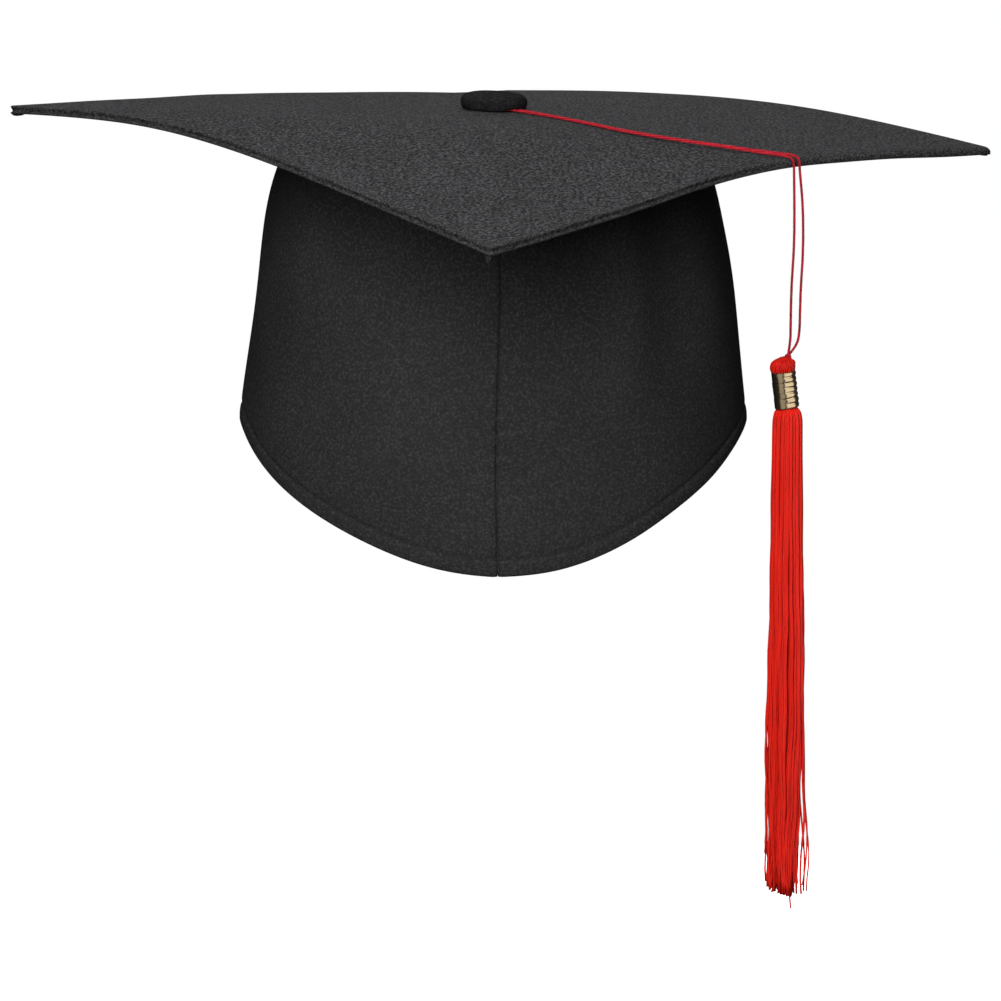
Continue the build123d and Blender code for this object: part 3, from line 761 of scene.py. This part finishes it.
def board_surface(build, profile, depth, soft=None, flip=False):
    """A square of cloth over the board, with its edge turned along a profile of (inset, depth).
    Towards the right corner it turns along soft instead, a profile of as many points."""
    half = BOARD_SIDE / 2
    inner = half - profile[0][0]
    line = np.linspace(-1, 1, CELLS + 1)
    a, b = np.meshgrid(line, line, indexing="ij")
    x, y = corner_round(a * inner, b * inner, inner, max(0.2, CORNER_RADIUS - profile[0][0] / 2))
    px, py = board_plan(x, y)
    z = board_top(px, py) - depth + board_ripple(px, py)
    build.grid(np.stack([px, py, z], -1), np.stack([x, y], -1), flip)
    rim_a = np.concatenate([line[:-1], np.ones(CELLS), line[:0:-1], -np.ones(CELLS), [-1]])
    rim_b = np.concatenate([-np.ones(CELLS), line[:-1], np.ones(CELLS), line[:0:-1], [-1]])
    share = np.clip(((rim_a + rim_b) / 2 - 0.4) / 0.25, 0, 1)
    share = share * share * (3 - 2 * share)
    rings, uvs = [], []
    run, previous = 0.0, profile[0]
    for (inset, deep), (soft_inset, soft_deep) in zip(profile, soft or profile):
        run += dist((inset, deep), previous)
        previous = (inset, deep)
        size = half - inset - share * (soft_inset - inset)
        x, y = corner_round(rim_a * size, rim_b * size, size, max(0.2, CORNER_RADIUS - min(inset, 2) / 2))
        px, py = board_plan(x, y)
        z = board_top(px, py) - deep - share * (soft_deep - deep) + board_ripple(px, py)
        rings.append(np.stack([px, py, z], -1))
        side_run = np.where(np.abs(rim_a) > np.abs(rim_b), y, x)
        uvs.append(np.stack([side_run, np.full_like(x, size + run * 1.3)], -1))
    return build.grid(np.stack(rings), np.stack(uvs), not flip)


top_profile = [(2.4, 0.0), (1.6, -0.02), (1.0, -0.09), (0.55, -0.11), (0.22, -0.02), (0.04, 0.2), (0.02, 0.42),
               (0.2, 0.8), (0.42, 1.2), (0.56, 1.65), (0.5, 1.95), (0.24, 2.18), (-0.02, 2.4), (0.4, 2.52),
               (1.2, 2.52)]
soft_profile = [(2.4, 0.0), (1.95, 0.05), (1.5, 0.14), (1.1, 0.27), (0.75, 0.45), (0.48, 0.68), (0.27, 0.95),
                (0.12, 1.26), (0.03, 1.6), (0.0, 1.92), (0.02, 2.18), (0.1, 2.38), (0.25, 2.48), (0.55, 2.52),
                (1.2, 2.52)]
board_cover = board_surface(Build(), top_profile, 0.0, soft_profile).make("board_cover", board_cloth)
takes(board_cover, "shell_cloth", "board_top_cover")

under_profile = [(2.4, 2.82), (1.4, 2.84), (0.6, 2.84), (0.1, 2.78), (-0.12, 2.64), (-0.1, 2.46), (0.2, 2.36),
                 (0.8, 2.34)]
board_under = board_surface(Build(), under_profile, 2.82, flip=True).make("board_under", under_cloth)
takes(board_under, "shell_cloth", "board_bottom_cover")


def stitches(build, line, outward, long, pitch, radius, lift):
    """Separate stitches along a line of points, each dipping into the cloth at both of its ends."""
    done = lengths_along(line)
    rise = lift * np.sin(np.linspace(-0.35, pi + 0.35, 6))[:, None] - 0.02
    for k in range(int(done[-1] / pitch)):
        where = k * pitch + np.linspace(0.1, 0.1 + long, 6)
        tube(build, at_lengths(line, done, where) + rise * unit(at_lengths(outward, done, where)), radius, 5)
    return build


def edge_stitches(depth=2.4):
    """A line of stitches round the board's edge, where the two cloths meet."""
    build = Build()
    half = BOARD_SIDE / 2
    along = np.linspace(1.5 - half, half - 1.5, 120)
    for sides in ((half, along), (-half, along), (along, half), (along, -half)):
        across, up = (s + 0 * along for s in sides)
        x, y = board_plan(across, up)
        line = np.stack([x, y, board_top(x, y) - depth + board_ripple(x, y)], -1)
        ox, oy = board_plan(*(s + (np.abs(s) == half) * np.sign(s) for s in (across, up)))
        stitches(build, line, np.stack([ox - x, oy - y, 0 * x], -1), 2.2, 2.9, 0.12, 0.06)
    return build


edge_thread = edge_stitches().make("board_edge_stitches", black_thread, merge=False)
takes(edge_thread, "sewing_thread", "board_edge_seam")


def board_frame(x, y, depth):
    """A point under the board's top and three directions there, the last one square to it."""
    slope_x = float(board_top(x + 1, y) - board_top(x - 1, y)) / 2
    slope_y = float(board_top(x, y + 1) - board_top(x, y - 1)) / 2
    up = unit(np.array([-slope_x, -slope_y, 1.0]))
    right = unit(np.array([1.0, 0.0, slope_x]))
    return np.array([x, y, float(board_top(x, y)) - depth]), right, np.cross(up, right), up


def corner_tucks():
    """The pinched end of the seam allowance under each corner. Only the front one hangs down."""
    build = Build()
    for quarter, drop in enumerate((0.8, 0.8, 0.8, 3.6)):
        angle = BOARD_TURN + quarter * pi / 2
        reach = HALF_DIAGONAL - 3.4
        origin, right, back, up = board_frame(BOARD_CENTRE_X + reach * cos(angle), reach * sin(angle),
                                              BOARD_THICK - 0.1)
        out = right * cos(angle) + back * sin(angle)
        side = back * cos(angle) - right * sin(angle)
        t = np.linspace(0, 1, 12)[:, None]
        a = np.linspace(0, 2 * pi, 25)[None, :]
        pleat = 1 + 0.16 * np.sin(3 * a + 2.0 * t) * (1 - t) + 0.08 * np.sin(7 * a)
        tip = np.sin(np.clip((t - 0.8) / 0.2, 0, 1) * pi / 2)
        drawn = pleat * np.sqrt(1 - tip ** 2 * 0.99)
        outward = 0.8 * t + (2.5 - 1.3 * t) * drawn * np.cos(a)
        sideways = -0.2 * drop * t + (1.9 - 1.3 * t) * drawn * np.sin(a)
        down = (0.85 * drop + 0.15) * t + 0 * a
        points = origin + outward[..., None] * out + sideways[..., None] * side - down[..., None] * up
        build.grid(points, np.stack([a * 2.0 + 0 * t, drop * t + 0 * a], -1), True)
    return build


tucks = corner_tucks().make("board_tucks", under_cloth)
takes(tucks, "shell_cloth", "board_corner_tucks")


# ---- button ----
def button_cover(build, cloth_reach=16.5, around=132):
    """Cloth drawn over a domed shell and in under it, lifted a little where the cord comes out."""
    profile = eased([(0.0, 6.15), (3.0, 6.15), (5.8, 6.05), (8.2, 5.75), (10.2, 5.2), (11.4, 4.2), (11.8, 2.9),
                     (11.6, 1.4), (11.0, 0.3), (10.3, -0.1), (9.5, 0.1), (8.9, 0.5), (8.75, 1.2)], 3)[2:]

    def shape(radius, height, angle):
        """Pleated where it turns in, and lifted over the mouth that the cord comes out of."""
        turn = np.degrees((angle + radians(54) + pi) % (2 * pi) - pi)
        mouth = 1 / (1 + np.exp((np.abs(turn) - 13) / 3.0))
        low = np.clip((2.9 - height) / 2.9, 0, 1)
        height = height + 1.0 * mouth * low ** 2 * (radius > 8.0)
        pleats = np.sin(26 * angle + 2 * np.sin(3 * angle))
        radius = radius + 0.07 * pleats * low + 0.05 * np.sin(2 * angle + 1) * (radius > 5)
        height = height + 0.05 * np.sin(3 * angle + 0.7) * radius / 12 + 0.10 * pleats * low * (radius < 11)
        return radius, height
    points, _ = turned_rings(profile, around, shape)
    flat = np.linspace(0, cloth_reach, len(profile) + 1)[1:, None]
    angle = np.linspace(0, 2 * pi, around + 1)[None, :]
    origin, right, back, up = board_frame(0.0, 0.0, 0.0)
    points = origin + points[..., :1] * right + points[..., 1:2] * back + points[..., 2:] * up
    return shell(build, points, np.stack([flat * np.cos(angle), flat * np.sin(angle)], -1), 0.42)


button = button_cover(Build()).make("button_cloth_cover", button_cloth)
takes(button, "button_cloth", "button_cover")


# ---- crown ----
MM_PER_DEGREE = 1.62      # round the crown


def mound(across, wide, up=0.0, tall=1.0):
    """A smooth hump of height 1 in the middle, this wide and this tall."""
    return np.exp(-(across / wide) ** 2 - (up / tall) ** 2)


def step_up(value, middle, softness):
    """From 0 to 1, most steeply in the middle."""
    return 1 / (1 + np.exp((middle - value) / softness))


def upright_folds(degrees, height):
    """The soft fold over the wearer's left temple, the hollow behind it and the swell after that."""
    return sum(size * mound(degrees - centre + slant * (height - 60), wide) * step_up(height, low, soft)
               for size, centre, wide, low, soft, slant in (
                   (1.7, 33, 6, 24, 9, 0.03), (-2.6, 47, 9, 34, 10, 0.02), (0.7, 64, 10, 30, 10, 0)))


def slack_folds(degrees, height):
    """Slack cloth under the board, left of the front."""
    return sum(size * mound(degrees - centre - lean * (height - rise), wide, height - rise, tall)
               for size, centre, lean, wide, rise, tall in (
                   (-1.9, -25, 0.5, 6, 62, 9), (0.8, -12, 0.45, 5, 66, 11),
                   (-1.3, -40, 0, 7, 80, 13), (0.5, -54, 0, 6, 70, 20)))


def seam_puckers(degrees, height):
    """Two puckers over the front seam."""
    out = 0.0
    for rise, tilt in ((9.0, 0.35), (2.5, -0.2)):
        over = height - rise - tilt * degrees
        out = out + 0.8 * mound(over, 1.6, degrees - 3.6, 4.5) - 0.6 * mound(over - 2.6, 1.4, degrees - 3.2, 4)
    return out


def slow_waves(angle, height):
    """Slow unevenness all round."""
    rng = np.random.default_rng(11)
    out = 0.0
    for _ in range(16):
        k, wave = rng.integers(2, 12), rng.uniform(60, 160)
        phase, size = rng.uniform(0, 6.28), rng.uniform(0.06, 0.2)
        out = out + size * np.sin(k * angle + height * 2 * pi / wave + phase)
    return out


def crown_fold(angle, height):
    """How far the crown's cloth stands out from its plain shape, in millimetres."""
    degrees = np.degrees(angle)
    out = upright_folds(degrees, height) + slack_folds(degrees, height)
    # a shallow arc across the front, where the head's shape begins
    arc = 56 - 0.014 * (degrees - 4) ** 2
    out = out + 0.55 * mound(height - arc, 5, degrees - 4, 24)
    out = out + seam_puckers(degrees, height) + slow_waves(angle, height)
    # the seams and the hem's stitching pull in, and the back gathers over its elastic
    front = (degrees - np.degrees(FRONT_SEAM)) * MM_PER_DEGREE
    back = (180 - np.abs(degrees)) * MM_PER_DEGREE
    for distance in (front, back):
        out = out - 0.4 * mound(distance, 1.0) - 0.6 * mound(distance, 0.35)
        out = out + 0.12 * mound(np.abs(distance) - 2.6, 1.6)
    rise = height - hem(np.clip(angle, -pi, pi))
    out = out - 0.3 * mound(rise - HEM_TURNING, 0.8)
    gather = step_up(-back / MM_PER_DEGREE, -52, 4) * mound(rise - 8, 16)
    return out + 0.55 * gather * np.sin(degrees * 2 * pi / 5.3 + 1.3 * np.sin(degrees / 9.0))


def crown_point(angle, height, inset):
    """A point of the crown with its folds, this far in from its outside."""
    reach = crown_fold(angle, height)
    x, y = crown_plan(angle, height, inset)
    return np.stack([x + reach * np.sin(angle), y - reach * np.cos(angle), height + 0 * x], -1)


def wall_grid(start, end, inset, low, high, rows, columns):
    """Points of a layer of the crown's wall, and their place on the flat cloth."""
    angle = np.linspace(start, end, rows)[:, None] * np.ones((1, columns))
    share = np.linspace(0, 1, columns)[None, :]
    wrapped = (angle + pi) % (2 * pi) - pi
    bottom, top = low(wrapped), high(wrapped)
    height = bottom + (top - bottom) * share
    inset = inset(angle, share) if callable(inset) else inset
    return crown_point(wrapped, height, inset), np.stack([angle * CROWN_HALF_WIDTH, height], -1)


def crown_panel(name, start, end, flip):
    """One half of the crown's outer cloth. Its hem turns in under the layers behind it."""
    columns, rows = 120, 200
    step = np.linspace(0, 1, rows)
    step = step - 0.75 * np.sin(2 * pi * step) / (2 * pi)      # closer together beside the seams
    angle = (start + (end - start) * step)[:, None] * np.ones((1, columns))
    share = np.linspace(0, 1, columns)[None, :] ** 1.35
    bottom, top = hem(angle), crown_top(angle)
    height = bottom + 0.8 + (top - bottom - 0.8) * share
    rise = height - bottom
    puffed = 0.2 * mound(rise - HEM_TURNING / 2, 2.0) - 0.16 * mound(rise - HEM_TURNING, 0.8)
    outer = crown_point(angle, height, 0.0)
    outer = outer + normals(outer, flip) * puffed[..., None]
    turned = [crown_point(angle[:, 0], bottom[:, 0] + rise, inset) for inset, rise in (
        (1.72, 3.0), (1.70, 0.6), (1.45, 0.12), (1.0, -0.08), (0.5, -0.02), (0.15, 0.28))]
    points = np.concatenate([np.stack(turned, 1), outer], 1)
    run = np.concatenate([bottom[:, :1] + [[-6.2, -3.8, -3.2, -2.6, -2.0, -1.3]], height], 1)
    across = np.broadcast_to(angle[:, :1] * CROWN_HALF_WIDTH, run.shape)
    return Build().grid(points, np.stack([across, run], -1), flip).make(name, crown_cloth)


def hem_stitches(rows=900):
    """Stitches round the crown, where the hem's turning ends."""
    angle = np.linspace(-pi, pi, rows)
    line = crown_point(angle, hem(angle) + HEM_TURNING, 0.12)
    outward = np.stack([np.sin(angle), -np.cos(angle), 0 * angle], -1)
    return stitches(Build(), line, outward, 2.5, 3.3, 0.13, 0.15)


topstitch = hem_stitches().make("hem_topstitch", black_thread, merge=False)
takes(topstitch, "sewing_thread", "hem_stitching")

SEAM = 0.0006      # half of the gap between the panels, in radians
right_panel = crown_panel("crown_right", FRONT_SEAM - SEAM, -pi + SEAM, True)
left_panel = crown_panel("crown_left", FRONT_SEAM + SEAM, pi - SEAM, False)
for panel, node in ((right_panel, "crown_right_panel"), (left_panel, "crown_left_panel")):
    takes(panel, "shell_cloth", node)


def above_hem(rise):
    """A line round the crown at this height above its hem."""
    return lambda angle: hem(angle) + rise


def wall_layer(name, material, start, end, inset, thick, low, high, rows, columns, flip=False):
    """A sheet of cloth on the crown's wall."""
    points, uv = wall_grid(start, end, inset, low, high, rows, columns)
    return shell(Build(), points, uv, thick, flip).make(name, material)


for side, flip, start, end in (("right", True, FRONT_SEAM - SEAM, -pi + SEAM),
                               ("left", False, FRONT_SEAM + SEAM, pi - SEAM)):
    piece = wall_layer(f"interfacing_{side}", stiff_cloth, start, end, 0.5, 0.75,
                       above_hem(0.5), crown_top, 130, 60, flip)
    takes(piece, "stiffening_cloth", f"stiffener_{side}")
    piece = wall_layer(f"lining_{side}_cloth", lining_cloth, start, end, 1.32, 0.28,
                       above_hem(0.5), crown_top, 130, 60, flip)
    takes(piece, "lining_cloth", f"lining_{side}")


def crown_tip(build):
    """The oval of cloth that closes the crown under the board."""
    angle = np.linspace(0, 2 * pi, 121)[None, :]
    share = np.concatenate([np.linspace(0.045, 0.9, 16), np.linspace(0.92, 1.0, 8)])[:, None]
    x, y = share * 60.0 * np.cos(angle), share * 62.7 * np.sin(angle)
    pucker = 0.12 * np.sin(31 * angle + 1.4 * np.sin(5 * angle)) * np.clip((share - 0.85) / 0.15, 0, 1)
    z = board_top(x, y) - BOARD_THICK - 0.78 + pucker
    return shell(build, np.stack([x, y, z], -1), np.stack([x, y], -1), 0.4, True)


tip = crown_tip(Build()).make("crown_tip_oval", lining_cloth)
takes(tip, "lining_cloth", "crown_tip")


def under_tip(angle):
    return crown_top(angle) - 4


HALF_TAPE = 6.0 / CROWN_HALF_LENGTH      # half of the tape's width, as an angle
for name, middle, length in (("front", FRONT_SEAM, 0.112), ("back", pi, 0.076)):
    piece = wall_layer(f"{name}_tape", tape_cloth, middle - HALF_TAPE, middle + HALF_TAPE, 1.7, 0.3,
                       above_hem(BAND_HEIGHT + 1.5), under_tip, 10, 60)
    takes(piece, "tape_cloth", f"{name}_seam_tape")

build = Build()
for flip, start, end in ((True, -0.001, -pi + 0.001), (False, 0.001, pi - 0.001)):
    points, uv = wall_grid(start, end, 1.8, above_hem(0.9), above_hem(BAND_HEIGHT), 130, 12)
    shell(build, points, uv, 0.42, flip)
sweatband = build.make("sweatband_grosgrain", band_cloth)
takes(sweatband, "band_cloth", "sweatband")

elastic = wall_layer("elastic_strip", elastic_weave, pi - ELASTIC_SPAN, pi + ELASTIC_SPAN, 2.3, 0.9,
                     above_hem(3.0), above_hem(15.0), 160, 8)
takes(elastic, "elastic", "elastic_band")


def casing_inset(angle, share):
    """Gathers that stand in from the head's side between two lines of stitching."""
    return 3.35 + 0.75 * np.sin(pi * share) * (0.5 + 0.5 * np.sin(angle * 74 + 1.5 * np.sin(angle * 11)))


CASING_SPAN = ELASTIC_SPAN + 0.05
points, uv = wall_grid(pi - CASING_SPAN, pi + CASING_SPAN, casing_inset, above_hem(1.0), above_hem(17.0),
                       420, 16)
casing = shell(Build(), points, uv * [1.25, 1.0], 0.35).make("gathered_casing", lining_cloth)
takes(casing, "lining_cloth", "elastic_casing")

# ---- kept parts of the frame ----
METAL_NODES = ("button_shell", "button_back", "button_shank", "button_anchor")
for node_name, slot, material in (("board_core", "card", card_paper),
                                  *((name, "button_metal", steel_metal) for name in METAL_NODES)):
    kept = bpy.data.objects.get(node_name)
    kept.data.materials.clear()
    kept.data.materials.append(material)
